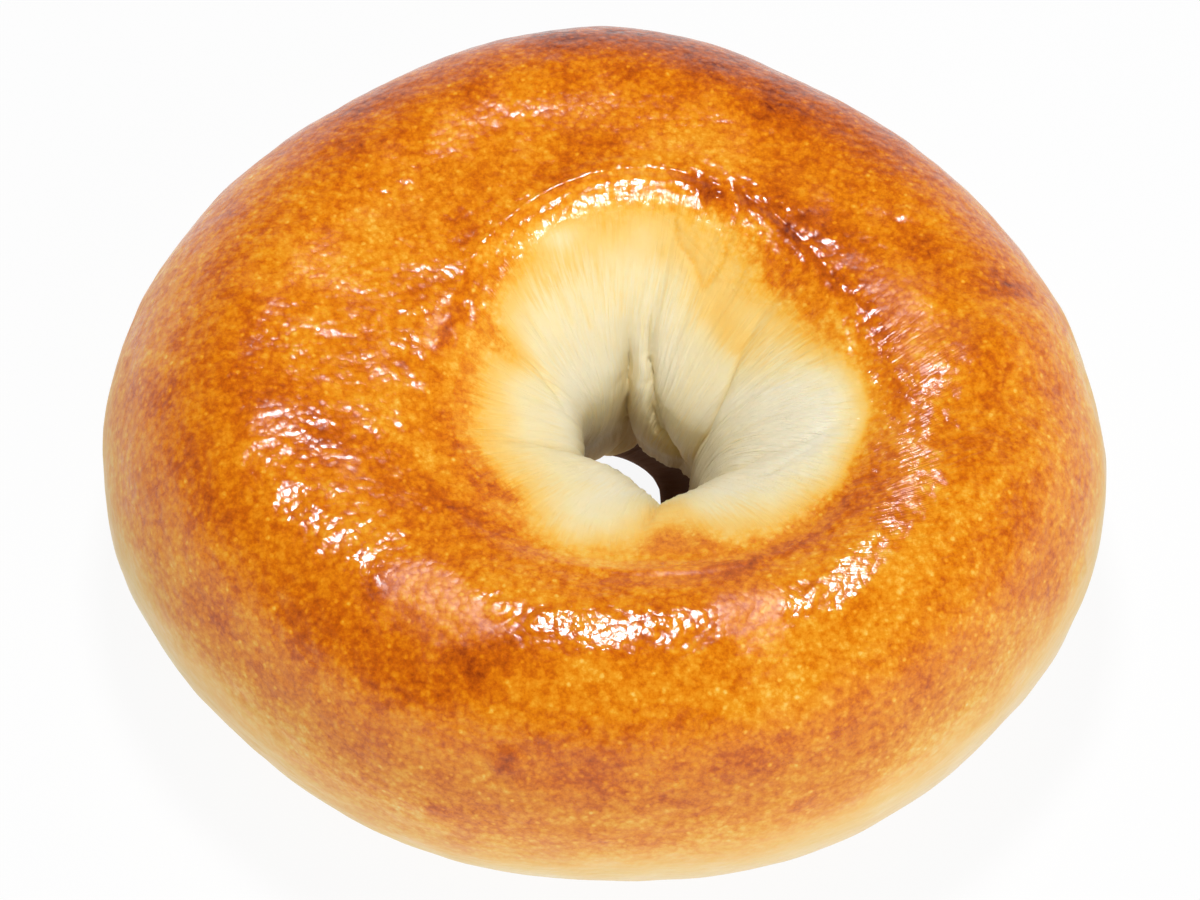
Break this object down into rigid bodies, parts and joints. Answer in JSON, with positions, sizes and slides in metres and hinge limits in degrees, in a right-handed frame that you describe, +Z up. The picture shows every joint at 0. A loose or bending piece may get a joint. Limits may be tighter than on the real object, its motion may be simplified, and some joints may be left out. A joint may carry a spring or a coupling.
{
  "type": "bagel",
  "caption": "Plain baked bagel, a plump uneven ring of bread with a glossy crust, a flat underside and a small folded hole that leans as it goes down.",
  "frame": {"origin": "centre of the bagel's overall box, on the plane of its flat underside", "axes": "+Z up through the hole, from the flat underside to the crown; +X along the longest way across"},
  "size_m": [0.1116, 0.101, 0.0423],
  "materials": {
    "crust": "glossy golden-brown baked crust, paler and matt down the hole and along the lower edge"
  },
  "bodies": {
    "root": {"bagel": "crust"}
  },
  "joints": []
}
